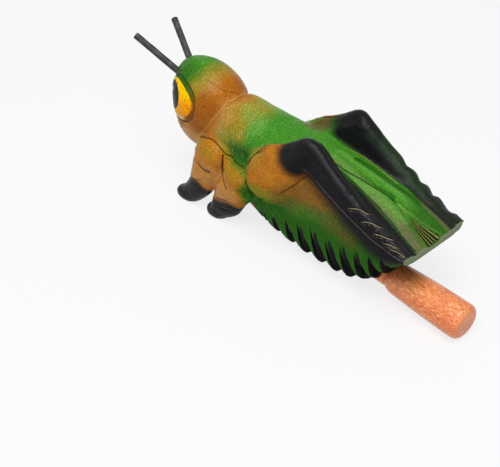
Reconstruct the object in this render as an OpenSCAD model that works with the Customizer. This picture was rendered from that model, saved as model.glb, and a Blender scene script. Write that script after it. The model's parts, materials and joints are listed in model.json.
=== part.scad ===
// Carved wooden grasshopper guiro: one carved block with scraping ridges under its belly,
// two rod antennae glued into its crown, and a turned stick that is stored in its tail.
// Head towards -X, tail towards +X, feet and belly keel standing on Z = 0.

/* [Body] */
// Length of the carving from the face to the flat tail end
body_len = 150; // [120:1:200]
// Width of the carving across the tail
body_w = 41; // [36:0.5:56]
// Height of the carving from the soles to the crown
body_h = 71.5; // [60:0.5:96]

/* [Head] */
// Length of the head from the face to the nape
head_len = 41; // [36:0.5:46]
// Width of the head across the cheeks
head_w = 31; // [27:0.5:36]
// Drop from the middle of the head to the chin
chin_drop = 24.5; // [19:0.5:27]
// Length of an eye dome
eye_d = 23; // [16:0.5:25]
// Rise of an eye dome over the cheek
eye_rise = 1; // [0.5:0.1:2]

/* [Front legs] */
// Distance of a foot's middle from the body's mid plane
stance = 11.3; // [9.5:0.1:13]
// Forward reach of the first foot's toe from its shoulder
reach_first = 27.5; // [22:0.5:29]
// Forward reach of the second foot's toe from its shoulder
reach_second = 24; // [19:0.5:26]
// Width of a foot
foot_w = 9; // [7:0.5:11]
// Diameter of a shoulder lobe
lobe_d = 21; // [17:0.5:24]

/* [Hind legs] */
// Width of the thigh at its broadest
thigh_w = 27; // [22:0.5:32]
// Thickness of the thigh across the body
thigh_t = 9; // [7:0.5:11]
// Drop from the crown to the knee
knee_drop = 0.5; // [0:0.5:8]
// Width of the shin across the body
shin_w = 7; // [5:0.5:9]
// Number of scallop cuts in the edge of a shin
spine_count = 4; // [2:1:6]
// Depth of a scallop cut
spine_d = 2.4; // [0.8:0.1:3]

/* [Wings] */
// Depth of the lines carved between the wings
wing_line = 0.9; // [0.4:0.1:1.4]
// Width of the sunk fan between the wing tips
fan_w = 7; // [5:0.5:11]
// Length of the fan
fan_len = 21; // [12:0.5:30]

/* [Ridges] */
// Number of notches across the belly
notch_count = 10; // [6:1:12]
// Width of a notch at the keel
notch_w = 5.8; // [3:0.1:6.2]
// Depth of a notch at the keel
notch_d = 6.6; // [3:0.1:7]
// Thickness of the tail slab at its end
tail_t = 4; // [3:0.5:8]

/* [Stick] */
// Diameter of the handle at its end
handle_d = 16.2; // [13:0.2:18]
// Length of the handle with its shoulder
handle_len = 39; // [26:0.5:54]
// Diameter of the shaft
shaft_d = 11.6; // [8:0.2:12]
// Length of the shaft that slides in the bore
shaft_len = 58; // [40:1:66]
// Width of the groove between handle and shaft
groove_w = 1.6; // [0.8:0.1:3]
// Radial clearance of the shaft in the bore
bore_clear = 0.08; // [0.05:0.01:0.1]
// Free space beyond the end of the shaft
bore_spare = 4; // [2:0.5:8]
// Fall of the stick towards its handle in degrees
stick_tilt = 5.4; // [4:0.1:5.6]

/* [Antennae] */
// Diameter of an antenna rod
rod_d = 3.2; // [2.2:0.1:4]
// Length of an antenna rod with the part in its socket
rod_len = 30; // [22:0.5:45]
// Depth of an antenna socket
socket_depth = 6; // [4:0.5:8]
// Radial clearance of a rod in its socket
socket_clear = 0.05; // [0.03:0.01:0.1]
// Rise of an antenna above level in degrees
rod_rise = 33; // [20:1:45]
// Outward splay of an antenna in degrees
rod_splay = 21; // [5:1:30]

/* [Hidden] */

// The carving is laid out on a reference block and then brought to the named block sizes.
face_x = 2;
tail_x = 152;
ref_len = tail_x - face_x;
ref_w = 41;
ref_h = 71.5;
sole_trim = 1;
kx = body_len / ref_len;
ky = body_w / ref_w;
kz = body_h / ref_h;
function at(p) = [(p.x - face_x) * kx, p.y * ky, p.z * kz];
// A real length, width or height as it is on the reference block, and a size in its upright plane.
function ref_x(v) = v / kx;
function ref_y(v) = v / ky;
function ref_z(v) = v / kz;
function ref_xz(v) = v / sqrt(kx * kz);

head_x = face_x + 0.463 * ref_x(head_len);
head_z = 52;
knee_x = 101;
knee_z = ref_h - ref_z(knee_drop);
lip = 1;
thigh_y = ref_w / 2 - 0.2 - ref_y(thigh_t) / 2;

// Smooth curve through [x, value] knots.
function span(x, t, i = 0) = i >= len(t) - 2 || x < t[i + 1][0] ? i : span(x, t, i + 1);
function curve(x, t) =
    let(n = len(t), i = span(x, t), a = t[i], b = t[i + 1], h = b[0] - a[0])
    let(s = min(1, max(0, (x - a[0]) / h)))
    let(ma = i == 0 ? (b[1] - a[1]) / h : (b[1] - t[i - 1][1]) / (b[0] - t[i - 1][0]))
    let(mb = i == n - 2 ? (b[1] - a[1]) / h : (t[i + 2][1] - a[1]) / (t[i + 2][0] - a[0]))
    (2 * s^3 - 3 * s^2 + 1) * a[1] + (s^3 - 2 * s^2 + s) * h * ma
    + (3 * s^2 - 2 * s^3) * b[1] + (s^3 - s^2) * h * mb;
function spow(v, e) = sign(v) * pow(abs(v), e);
function step(a, b, x) = let(s = min(1, max(0, (x - a) / (b - a)))) s * s * (3 - 2 * s);
function unit(v) = v / norm(v);

// Lines along the block: belly, shoulder of the section, half width, top of the saddle, shin, wings.
neck = 34.6;
keel_z = [[neck, 31], [42, 24], [47, 17.5], [52, 11], [57, 6], [66, 2], [78, 0.2], [96, -0.6], [108, -0.2],
          [116, 2.2], [124, 7], [130, 11.6], [136, 18.4], [142, 26.4], [147, 33], [tail_x, 40.4 - ref_z(tail_t)]];
edge_z = [[neck, 43], [60, 45], [72, 48], [82, 53], [96, 56], [112, 52.6], [124, 48], [136, 44], [tail_x, 38.6]];
half_w = [[neck, 11.6], [42, 12.9], [50, 13.4], [64, 13.9], [78, 15.8], [96, 17.4], [112, 18.4], [128, 19],
          [tail_x, ref_w / 2 - lip]];
saddle_z = [[neck, 61.6], [37, 62.6], [42, 62.4], [50, 61.6], [60, 60.6], [70, 59.2], [78, 58]];
shin_z = [[76, 58], [84, 61.4], [92, 66], [knee_x - 4, knee_z - 1.2], [knee_x, knee_z],
          [knee_x + 4, knee_z - 2.6], [112, 62.8], [124, 55.4], [136, 48], [tail_x, 41]];
roof_z = [[76, 58], [96, 57.8], [112, 55.6], [124, 52], [136, 47], [tail_x, 40.4]];
wing_y = [[76, 10], [100, 9.5], [124, 9.5], [136, 12], [tail_x, 15]];
flank_e = [[neck, 0.5], [56, 0.52], [72, 0.5], [88, 0.45], [112, 0.47], [126, 0.42], [140, 0.32], [tail_x, 0.2]];
lean = [[neck, 0.62], [46, 0.36], [56, 0], [tail_x, 0]];
apex_z = [[60, 13], [79, 19], [97, 26], [117, 28.5], [133, 31.5], [141, 35]];
saddle_end = 77;
notch_x0 = 61.5;
notch_x1 = 139;
land = 0.3;
// The front of the trunk starts inside the head, so it is drawn out or in with the head's length.
neck_x = face_x + ref_x(head_len) - 8.4;
function front(x) = x > notch_x0 ? x : neck_x + (x - neck) * (notch_x0 - neck_x) / (notch_x0 - neck);
// The notches stand closer towards the tail. A flat of at least land is left between two of them.
function notch_x(i) =
    let(u = i / (notch_count - 1)) notch_x0 + (notch_x1 - notch_x0) * (1.17 * u - 0.17 * u^3);
function notch_half(i) =
    let(k = min(i, notch_count - 2)) min(ref_x(notch_w), notch_x(k + 1) - notch_x(k) - land) / 2;

flank_n = 11;
roof_n = 15;
// Upper half of the section in front: the arched saddle of the pronotum, which stands out over the flank.
function saddle(x, w, ze) =
    [for (q = [1 : roof_n]) let(t = 90 * q / roof_n)
        [(w + lip) * pow(cos(t), 0.86), ze + (curve(x, saddle_z) - ze) * pow(sin(t), 0.92)]];
// Upper half of the section behind: the shin bar, then the folded wings between the shins, with a gutter,
// a fold and a middle line that opens into the fan.
function back(x, w, ze, cut) =
    let(zs = curve(x, shin_z), zr = curve(x, roof_z), h = max(0.8, min(zs - ze, 7)), b = ref_y(shin_w))
    let(ys = w + lip, yf = curve(x, wing_y), zf = zr - 1, g = ref_z(wing_line) * step(80, 92, x))
    let(f = 0.2 + ref_y(fan_w) / 2 * max(0, 1 - (tail_x - x) / ref_x(fan_len)))
    concat(
        [[ys, ze + 0.12 * h], [ys - 0.2, zs - 0.55 * h - cut], [ys - 1, zs - 0.22 * h - cut],
         [ys - 0.4 * b, zs - 0.5 * cut], [ys - 0.75 * b, zs - 0.1 * h],
         [ys - b - 0.8, max(zs - 0.45 * h, zf + 0.2)], [yf, zf]],
        [for (v = [[0.93 * yf, g], [0.84 * yf, 0], [0.62 * yf, 0], [0.56 * yf, 0.8 * g], [0.5 * yf, 0],
                   [f + 0.4, 0], [f, g], [0, g]])
            [v[0], zf + (zr - zf) * (1 - pow(v[0] / yf, 1.7)) - v[1]]]);
// Share of a notch's depth that is left at the keel under the end of the bore, so that it stays closed.
function under_bore(x, d) = 1 - 0.55 * step(0.7, 1, d) * step(110, 117, x) * step(126, 122, x);
// Row of points round the trunk at station x. A notch of depth g is drawn towards the middle of the
// belly, s is the row's distance from the notch's middle, and cut lowers the shin's outer edge.
function trunk_row(x, g = 0, s = 0, cut = 0) =
    let(zk = curve(x, keel_z), ze = curve(x, edge_z), za = curve(x, apex_z), m = curve(x, lean))
    let(low = [for (q = [0 : flank_n])
        let(u = pow(q / flank_n, 1.5), d = min(1, max(0, 1 - u * (ze - zk) / (za - zk))), xq = x + s * max(0.3, d))
        let(y = curve(xq, half_w) * pow(1 - (1 - u)^2, curve(xq, flank_e)))
        let(c = g * sqrt(d) * under_bore(x, d) / (za - zk))
        let(z = curve(xq, keel_z) + (curve(xq, edge_z) - curve(xq, keel_z)) * u)
        [y * (1 - c), z + max(0, za - z) * c, xq]])
    let(xt = x + 0.3 * s, w = curve(xt, half_w), zt = curve(xt, edge_z))
    let(half = concat(low, [for (p = x < saddle_end ? saddle(xt, w, zt) : back(xt, w, zt, cut)) [p[0], p[1], xt]]))
    let(n = len(half))
    [for (i = [0 : 2 * n - 3]) let(p = half[i < n ? i : 2 * n - 2 - i])
        [front(p[2]) + m * (p[1] - head_z), (i < n ? 1 : -1) * p[0], p[1]]];
// Three rows make a notch. The shin is scalloped at the rows between the last notches.
trunk_rows = concat(
    [for (x = [neck, 36, 38, 41, 45, 50, 56]) trunk_row(x)],
    [for (i = [0 : notch_count - 1]) each concat(
        [for (s = [-1, 0, 1]) trunk_row(notch_x(i), s == 0 ? ref_z(notch_d) : 0, s * notch_half(i))],
        [if (i < notch_count - 1) trunk_row((notch_x(i) + notch_x(i + 1)) / 2,
            cut = i >= notch_count - spine_count ? ref_z(spine_d) : 0)])],
    [for (x = [144, 148, tail_x]) trunk_row(x, cut = x == 144 ? ref_z(spine_d) : 0)]);

// Solid between rows of points that all have the same count.
module loft(rows) {
    n = len(rows[0]);
    m = len(rows);
    polyhedron(
        points = [for (r = rows) each r],
        faces = concat(
            [[for (i = [0 : n - 1]) i]],
            [for (k = [0 : m - 2], i = [0 : n - 1], h = [0, 1])
                let(a = k * n + i, b = k * n + (i + 1) % n)
                h == 0 ? [b, a, b + n] : [b + n, a, a + n]],
            [[for (i = [n - 1 : -1 : 0]) (m - 1) * n + i]]),
        convexity = 8);
}

// Row of a table of sections at the fractional index u.
function blended(u, t) = [for (j = [0 : len(t[0]) - 1]) curve(u, [for (i = [0 : len(t) - 1]) [i, t[i][j]]])];

// Ring of n points round c: half axes a along u and b along v, squarer where e is under 1.
function ring(c, u, v, a, b, n, e = 1) =
    [for (i = [0 : n - 1]) let(t = 360 * (i + 0.5) / n) c + a * spow(cos(t), e) * u + b * spow(sin(t), e) * v];

head_n = 36;
head_m = 20;
brow_dir = unit([-0.78, 0, 0.62]);
nape_dir = unit([0.6, 0, 0.65]);
chin_dir = unit([-0.62, 0, -0.78]);
// Swelling of the head in direction d round the direction v.
function swell(d, v, spread) = exp(-(acos(min(1, max(-1, d * v))) / spread)^2);
// Distance from the middle of the head to its surface in direction d.
function head_r(d) =
    let(f = d.x < 0 ? head_x - face_x : ref_x(head_len) - head_x + face_x)
    let(h = d.z > 0 ? ref_h - head_z : ref_z(chin_drop))
    1 / sqrt((d.x / f)^2 + (d.y / ref_y(head_w / 2))^2 + (d.z / h)^2) + 3.8 * swell(d, chin_dir, 28)
    + 3.6 * swell(d, brow_dir, 30) - 1.5 * swell(d, nape_dir, 38);
head_raw = [for (k = [0 : head_m])
    let(a = 180 * (k + 0.1) / (head_m + 0.2))
    [for (i = [0 : head_n - 1])
        let(b = 360 * i / head_n, d = [-cos(a), sin(a) * cos(b), sin(a) * sin(b)])
        head_r(d) * d]];
// The face is brought exactly to the front of the block and the crown to its top.
face = (face_x - head_x) / min([for (r = head_raw, p = r) p.x]);
crown = (ref_h - head_z) / max([for (r = head_raw, p = r) p.z]);
function on_head(rows) = [for (r = rows) [for (p = r)
    [head_x + p.x * (p.x < 0 ? face : 1), p.y, head_z + p.z * (p.z > 0 ? crown : 1)]]];
head_rows = on_head(head_raw);

// Eye: an oval dome with an edge, laid over the cheek.
eye_n = 24;
eye_dir = unit([-0.43, 0.88, 0.2]);
eye_fore = unit(cross(eye_dir, [0, 0, 1])) * -1;
eye_up = cross(eye_dir, eye_fore);
// Share of the eye's size and of its rise, from under the cheek to the middle of the dome.
eye_rings = [[1.02, -1], [1, 0.5], [0.9, 0.66], [0.7, 0.84], [0.4, 0.96], [0.06, 1]];
eye_rows = on_head([for (v = eye_rings) [for (i = [0 : eye_n - 1])
    let(a = 360 * i / eye_n, size = v[0] * ref_y(eye_d / 2) / head_r(eye_dir))
    let(d = unit(eye_dir + size * (cos(a) * eye_fore + 0.93 * sin(a) * eye_up)))
    (head_r(d) + v[1] * ref_y(eye_rise)) * d]]);

// Front leg: shoulder lobe, shank and a blunt foot that reaches forward, in one tapering form.
// stout adds to the front of the shank.
function leg_rows(x, z, reach, stout) =
    let(r = ref_xz(lobe_d / 2), y = ref_y(stance))
    // Offset forward, height, half width across, half depth, heading of the limb in degrees below level.
    let(k = [[-0.12, z + 0.97 * r, 0.28, 0.28, 84], [-0.1, z + 0.82 * r, 0.66, 0.6, 82],
             [-0.06, z + 0.4 * r, 1.2, 0.96, 80], [0, z, 1.36, 1.02, 78], [0.1 + stout / 2, z - 0.5 * r, 1.27, 0.93 + stout, 74],
             [0.22 + stout, 0.64 * z, 1.06, 0.78 + 2.2 * stout, 70],
             [0.36 + stout, 0.4 * z, 1, 0.66 + 2.2 * stout, 60], [0.56 + stout / 2, 6.9, 1, 0.55 + stout, 48],
             [0.72, 3.3, 0.95, 0.46, 36], [0.88, 2.3, 0.8, 0.33, 20], [0.98, 2, 0.44, 0.17, 5]])
    [for (u = [0 : 0.5 : len(k) - 1])
        let(v = blended(u, k), c = [x - ref_x(reach) * v[0], y + 1.4 * step(4, 20, v[1]), v[1]])
        [for (p = ring(c, [0, 1, 0], [sin(v[4]), 0, -cos(v[4])], ref_y(foot_w / 2) * v[2], r * v[3], 14, 0.92))
            [p.x, p.y, max(-sole_trim, p.z)]]];
first_leg = leg_rows(front(36.5), 34.5, reach_first, 0);
second_leg = leg_rows(front(54), 29, reach_second, 0.06);

// Thigh: a flattened drop along the line from the hip to the knee.
hip = [74, thigh_y, 42];
thigh_dir = unit([knee_x - 1, thigh_y, knee_z - 2] - hip);
// Distance along the thigh, half width and half thickness.
thigh_form = [[-15, 0.12, 0.15], [-13, 0.5, 0.56], [-9, 0.8, 0.82], [-3, 0.98, 0.98], [4, 1, 1], [12, 0.86, 1],
              [20, 0.66, 0.98], [28, 0.5, 0.94], [34, 0.42, 0.84], [37.5, 0.28, 0.6], [38.6, 0.1, 0.3]];
thigh_rows = [for (u = [0 : 0.5 : len(thigh_form) - 1])
    let(v = blended(u, thigh_form))
    ring(hip + v[0] * thigh_dir, [0, 1, 0], cross(thigh_dir, [0, 1, 0]), ref_y(thigh_t / 2) * v[2],
        ref_xz(thigh_w / 2) * v[1], 20, 0.94)];

module carving() {
    loft(trunk_rows);
    loft(head_rows);
    for (s = [0, 1], rows = [eye_rows, first_leg, second_leg, thigh_rows]) mirror([0, s, 0]) loft(rows);
}
carving_rows = concat(trunk_rows, head_rows, eye_rows, first_leg, second_leg, thigh_rows);
carving_w = 2 * max([for (r = carving_rows, p = r) p.y]);
carving_h = max([for (r = carving_rows, p = r) p.z]) + sole_trim;

// The stick leaves the sloping end of the belly at mouth and falls towards its handle,
// which stays clear of the ground. An antenna leaves the brow at socket.
round_r = 3;
over = 20;
shoulder = 5.5;
taper = 0.9;
mouth_z = max(12 * kz, handle_len * sin(stick_tilt) + handle_d / 2 * cos(stick_tilt) + 0.25);
mouth = [at([133.6, 0, 0]).x, 0, mouth_z];
socket = at([3, 4.8, 62.6]);
rod_dir = [-cos(rod_rise) * cos(rod_splay), cos(rod_rise) * sin(rod_splay), sin(rod_rise)];

// Middle of the whole object between the antenna tips and the end of the handle.
tip_x = socket.x + (rod_len - socket_depth) * rod_dir.x - rod_d / 2 * sqrt(1 - rod_dir.x^2);
end_x = mouth.x + (handle_len - round_r) * cos(stick_tilt) + (handle_d / 2 - round_r) * sin(stick_tilt) + round_r;
mid_x = (tip_x + end_x) / 2;

module placed() translate([-mid_x, 0, 0]) children();
module stick_axis() placed() translate(mouth) rotate([0, 90 + stick_tilt, 0]) children();
module rod_axis(side) placed() mirror([0, side < 0 ? 1 : 0, 0]) translate(socket)
    rotate([0, 0, 180 - rod_splay]) rotate([0, 90 - rod_rise, 0]) children();

module carved_body() {
    color("forestgreen") difference() {
        placed() resize([body_len, carving_w * ky, carving_h * kz]) translate([-face_x, 0, 0]) carving();
        placed() translate([-over, -body_w, -over]) cube([body_len + 2 * over, 2 * body_w, over]);
        stick_axis() translate([0, 0, -shaft_len - bore_spare])
            cylinder(d = shaft_d + 2 * bore_clear, h = shaft_len + bore_spare + over, $fn = 64);
        stick_axis() translate([0, 0, -0.4])
            cylinder(d1 = shaft_d + 1.8, d2 = handle_d + 1.6, h = shoulder + 0.4, $fn = 64);
        for (side = [1, -1]) rod_axis(side) translate([0, 0, -socket_depth])
            cylinder(d = rod_d + 2 * socket_clear, h = socket_depth + over, $fn = 32);
    }
}

module antenna(side) {
    color([0.14, 0.14, 0.14]) rod_axis(side) translate([0, 0, -socket_depth])
        cylinder(d = rod_d, h = rod_len, $fn = 32);
}
module antenna_left() antenna(-1);
module antenna_right() antenna(1);

module scraper_stick() {
    r = shaft_d / 2;
    h = handle_d / 2;
    color("indianred") stick_axis() rotate_extrude($fn = 64) polygon(concat(
        [[0, -shaft_len], [r - 1.4, -shaft_len], [r - 0.4, 0.4 - shaft_len], [r, 1.4 - shaft_len],
         [r, -groove_w - 0.5], [r - 0.5, -groove_w], [r - 1, -groove_w / 2], [r - 0.5, 0]],
        [for (a = [0 : 15 : 90]) [r + (h - taper - r) * sin(a), shoulder * (1 - cos(a))]],
        [for (u = [0.25 : 0.25 : 0.75])
            [h - taper * (1 - u)^2, shoulder + u * (handle_len - round_r - shoulder)]],
        [for (a = [0 : 15 : 90]) [h - round_r * (1 - cos(a)), handle_len - round_r + round_r * sin(a)]],
        [[0, handle_len]]));
}

carved_body();
antenna_left();
antenna_right();
scraper_stick();
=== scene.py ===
import json
import math

import bmesh
import bpy
import numpy as np
from mathutils import Matrix, Vector
from mathutils.bvhtree import BVHTree

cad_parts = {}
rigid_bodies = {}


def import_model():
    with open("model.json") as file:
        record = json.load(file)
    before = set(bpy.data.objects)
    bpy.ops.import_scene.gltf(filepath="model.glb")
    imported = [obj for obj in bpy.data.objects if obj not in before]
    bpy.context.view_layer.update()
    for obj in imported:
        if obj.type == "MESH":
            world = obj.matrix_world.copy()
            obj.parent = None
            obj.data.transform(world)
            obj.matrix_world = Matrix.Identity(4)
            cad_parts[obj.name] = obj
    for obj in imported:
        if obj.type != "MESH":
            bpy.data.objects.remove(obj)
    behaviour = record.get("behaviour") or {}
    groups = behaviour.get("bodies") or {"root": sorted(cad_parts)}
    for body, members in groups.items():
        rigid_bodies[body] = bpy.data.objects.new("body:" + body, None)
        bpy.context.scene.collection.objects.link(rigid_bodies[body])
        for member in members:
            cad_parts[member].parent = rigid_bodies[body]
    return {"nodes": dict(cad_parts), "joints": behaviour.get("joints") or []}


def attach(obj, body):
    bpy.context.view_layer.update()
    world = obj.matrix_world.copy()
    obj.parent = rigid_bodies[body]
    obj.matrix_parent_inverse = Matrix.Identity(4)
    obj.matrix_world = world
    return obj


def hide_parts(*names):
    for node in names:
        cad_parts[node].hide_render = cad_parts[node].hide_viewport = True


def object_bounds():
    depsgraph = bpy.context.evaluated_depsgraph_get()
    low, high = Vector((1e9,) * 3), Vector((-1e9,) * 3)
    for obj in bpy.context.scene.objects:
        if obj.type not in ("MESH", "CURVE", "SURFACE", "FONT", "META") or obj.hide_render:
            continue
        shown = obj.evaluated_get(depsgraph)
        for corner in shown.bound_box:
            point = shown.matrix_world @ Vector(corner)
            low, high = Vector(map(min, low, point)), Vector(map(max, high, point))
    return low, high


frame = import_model()
cad_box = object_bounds()
scene = bpy.context.scene
scene.view_settings.view_transform = "Standard"

# The table where the guiro stands: a plain pale sheet under soft light from above, seen from behind
# its left side through a short telephoto lens.
view_place = (0.28537, -0.3167, 0.3257)
view_pitch = 53
view_turn = 45
view_lens = 83.95
floor_size = 60.0
floor_white = 0.8
room_light = 0.32
softbox_size = 0.6
softbox_power = 11.8
softbox_place = (0.25, -0.4, 1.05)


def linear(code):
    """Linear RGBA of an sRGB hex colour."""
    channels = [int(code[i:i + 2], 16) / 255 for i in (1, 3, 5)]
    return tuple(c / 12.92 if c <= 0.04045 else ((c + 0.055) / 1.055) ** 2.4 for c in channels) + (1.0,)


def add(material, kind, values=(), links=(), **settings):
    """Adds a node with its settings, the values of its sockets and the links that reach them."""
    made = material.node_tree.nodes.new(kind)
    for name, value in settings.items():
        setattr(made, name, value)
    for socket, value in dict(values).items():
        made.inputs[socket].default_value = value
    for socket, source in dict(links).items():
        material.node_tree.links.new(source, made.inputs[socket])
    return made


camera = bpy.data.objects.new("view", bpy.data.cameras.new("view"))
camera.data.sensor_width = 36
camera.data.lens = view_lens
camera.location = view_place
camera.rotation_euler = (math.radians(view_pitch), 0, math.radians(view_turn))
scene.collection.objects.link(camera)
scene.camera = camera

scene.world = bpy.data.worlds.new("pale_room")
scene.world.use_nodes = True
room = scene.world.node_tree.nodes["Background"]
room.inputs["Color"].default_value = linear("#FFFFFF")

softbox = bpy.data.objects.new("softbox", bpy.data.lights.new("softbox", "AREA"))
softbox.data.size = softbox_size
softbox.data.energy = softbox_power
softbox.location = softbox_place
softbox.rotation_euler = (-Vector(softbox_place)).to_track_quat("-Z", "Y").to_euler()
scene.collection.objects.link(softbox)

bpy.ops.object.select_all(action="DESELECT")
bpy.ops.mesh.primitive_plane_add(size=floor_size, location=(0, 0, cad_box[0][2]))
floor = bpy.context.object
floor.name = "table_sheet"
# Matt white paper. The eye sees it nearly white, with about a fifth of the shadow that falls on it.
paper = bpy.data.materials.new("matt_white_paper")
paper.use_nodes = True
sheet = paper.node_tree.nodes["Principled BSDF"]
sheet.inputs["Base Color"].default_value = linear("#E0E0DF")
sheet.inputs["Roughness"].default_value = 0.9
sheet.inputs["Specular IOR Level"].default_value = 0.1
glow = add(paper, "ShaderNodeEmission", {"Color": linear("#FFFFFF")}).outputs["Emission"]
# What the camera, a reflection or a clear piece looks at is white, both the sheet and the room beyond it.
looked_at = {}
for owner in (scene.world, paper):
    seen = add(owner, "ShaderNodeLightPath").outputs
    direct = add(owner, "ShaderNodeMath", links={0: seen["Is Camera Ray"], 1: seen["Is Glossy Ray"]},
                 operation="MAXIMUM").outputs[0]
    looked_at[owner.name] = add(owner, "ShaderNodeMath", links={0: direct, 1: seen["Is Transmission Ray"]},
                                operation="MAXIMUM").outputs[0]
brightness = add(scene.world, "ShaderNodeMapRange", {"To Min": room_light, "To Max": 1},
                 {"Value": looked_at[scene.world.name]})
scene.world.node_tree.links.new(brightness.outputs[0], room.inputs["Strength"])
white = add(paper, "ShaderNodeMath", {1: floor_white}, {0: looked_at[paper.name]},
            operation="MULTIPLY").outputs[0]
lighter = add(paper, "ShaderNodeMixShader", links={0: white, 1: sheet.outputs["BSDF"], 2: glow})
paper.node_tree.links.new(lighter.outputs[0], paper.node_tree.nodes["Material Output"].inputs["Surface"])
floor.data.materials.append(paper)

# The carved block: head, pronotum, folded legs, wings and the ridged belly are one piece of pale softwood,
# sawn, cut with knife and gouge, sanded, airbrushed in green, ochre and black, and given a satin lacquer.
mm = 0.001
sanded_grid = 0.76 * mm
axis = Vector(frame["joints"][0]["axis"]).normalized()


def only(obj):
    """Makes obj the one selected and active object."""
    bpy.ops.object.select_all(action="DESELECT")
    obj.select_set(True)
    bpy.context.view_layer.objects.active = obj


def apply(obj, kind, **settings):
    """Adds a modifier with its settings and applies it."""
    modifier = obj.modifiers.new(kind.lower(), kind)
    for name, value in settings.items():
        setattr(modifier, name, value)
    only(obj)
    bpy.ops.object.modifier_apply(modifier=modifier.name)


def points(mesh):
    """The vertices of a mesh in millimetres."""
    flat = np.empty(len(mesh.vertices) * 3)
    mesh.vertices.foreach_get("co", flat)
    return flat.reshape(-1, 3) / mm


def facing(mesh):
    """The vertex normals of a mesh."""
    flat = np.empty(len(mesh.vertices) * 3)
    mesh.vertex_normals.foreach_get("vector", flat)
    return flat.reshape(-1, 3)


def fade(start, end, value):
    """0 at start, 1 at end, smooth between them. start may be the larger one."""
    t = np.clip((value - start) / (end - start), 0, 1)
    return t * t * (3 - 2 * t)


def offsets(places, line, limit):
    """Distance of each place from a line of points, up to a limit, the way from the line to the place, and
    the heading of the line there."""
    near = np.full(len(places), float(limit))
    away = np.zeros((len(places), 3))
    heading = np.zeros((len(places), 3))
    close = np.nonzero(((places > line.min(0) - limit) & (places < line.max(0) + limit)).all(1))[0]
    for a, b in zip(line, line[1:]):
        along = np.clip(((places[close] - a) @ (b - a)) / max((b - a) @ (b - a), 1e-9), 0, 1)
        way = places[close] - a - along[:, None] * (b - a)
        gap = np.linalg.norm(way, axis=1)
        better = gap < near[close]
        near[close[better]] = gap[better]
        away[close[better]] = way[better]
        heading[close[better]] = b - a
    return near, away, heading


def one_sided(places):
    """The places with those on the near side laid over the far side."""
    return np.abs(places) * (0, 1, 0) + places * (1, 0, 1)


def ridge_height(x):
    """The z to which the scraping ridges reach up the flanks."""
    return np.interp(x, [-18, 1, 19, 39, 55, 63], [13, 19, 26, 28.5, 31.5, 35])


def mirrored(line):
    """The same line on the other side of the body."""
    return np.array(line, float) * (1, -1, 1)


node = frame["nodes"]["carved_body"]
carving = bpy.data.objects.new("carved_grasshopper", node.data.copy())
carving.data.materials.clear()
scene.collection.objects.link(carving)
only(carving)
bpy.ops.object.mode_set(mode="EDIT")
bpy.ops.mesh.select_all(action="SELECT")
bpy.ops.mesh.remove_doubles(threshold=0.01 * mm)
bpy.ops.object.mode_set(mode="OBJECT")
apply(carving, "REMESH", mode="VOXEL", voxel_size=sanded_grid)
# Only the skin that the topmost point belongs to is kept, and no pocket inside the wood.
bpy.ops.object.mode_set(mode="EDIT")
bpy.ops.mesh.select_mode(type="VERT")
bpy.ops.mesh.select_all(action="DESELECT")
bpy.ops.object.mode_set(mode="OBJECT")
carving.data.vertices[int(np.argmax(points(carving.data)[:, 2]))].select = True
bpy.ops.object.mode_set(mode="EDIT")
bpy.ops.mesh.select_linked()
bpy.ops.mesh.select_all(action="INVERT")
bpy.ops.mesh.delete(type="VERT")
bpy.ops.object.mode_set(mode="OBJECT")

# Sanding takes the flats off the rounded forms and leaves the ridges, the tail end, the collar, the far
# shin's scallops and the soles crisp.
collar = np.array([(-38.8, 0, 60.9), (-39.8, 5.7, 59.8), (-40.7, 8.8, 57.2), (-42.3, 11.1, 53.9),
                   (-44.8, 12.7, 49.6), (-48.4, 13.4, 44.3), (-53.1, 12.7, 39)])
place = points(carving.data)
x, y, z = place.T
ridge_top = ridge_height(x)
crisp = np.maximum.reduce([
    fade(ridge_top + 2, ridge_top - 2, z) * fade(-24, -18, x),
    fade(70, 72, x),
    fade(34, 40, x) * fade(15, 16.5, y) * fade(36, 42, z),
    0.8 * fade(2.5, 1.2, offsets(one_sided(place), collar, 4)[0]),
    fade(1.6, 0.6, z),
])
sanding = carving.vertex_groups.new(name="sanding")
for level in range(1, 11):
    picked = np.nonzero(np.round((1 - crisp) * 10) == level)[0]
    sanding.add([int(i) for i in picked], level / 10, "REPLACE")
apply(carving, "SMOOTH", factor=0.5, iterations=12, vertex_group="sanding")
knife = bpy.data.textures.new("knife_facets", "CLOUDS")
knife.noise_scale = 8 * mm
apply(carving, "DISPLACE", texture=knife, strength=0.4 * mm, mid_level=0.5, vertex_group="sanding",
      texture_coords="LOCAL")
carving.vertex_groups.clear()

# The scraping ridges: wedges sawn out of the keel and up both flanks, as far in as the wood round the bore.
# Each has the x and z of its top, the x of its front wall and of its rear wall at the keel, and the z there.
mouth = Vector((55.53, 0, 12))
saw_cuts = [
    (-12.3, 16.1, -15.5, -12.3, 3),
    (-5.7, 16.1, -9.9, -4.6, 1),
    (4, 20.7, -0.4, 5, 0),
    (11.6, 24.1, 9.3, 14.5, 0),
    (20.3, 26.2, 18.7, 23.7, 0),
    (29.1, 24.5, 27.7, 32.6, 0),
    (37.8, 26.1, 36.1, 41, 3),
    (46.2, 27.4, 44.1, 48.8, 8),
    (54.3, 30, 51.5, 55.7, 14),
    (61.3, 34.6, 58.6, 61.5, 22),
]
saw_half, saw_overrun = 30, 8
wedges = bmesh.new()
for top_x, top_z, front_x, rear_x, low_z in saw_cuts:
    reach = (top_z - low_z + saw_overrun) / (top_z - low_z)
    low_end = low_z - saw_overrun
    corners = [(top_x, top_z)]
    corners += [(top_x + reach * (wall_x - top_x), low_end) for wall_x in (front_x, rear_x)]
    wedge = [wedges.verts.new((a * mm, side * saw_half * mm, b * mm)) for side in (-1, 1) for a, b in corners]
    bmesh.ops.convex_hull(wedges, input=wedge)
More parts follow.
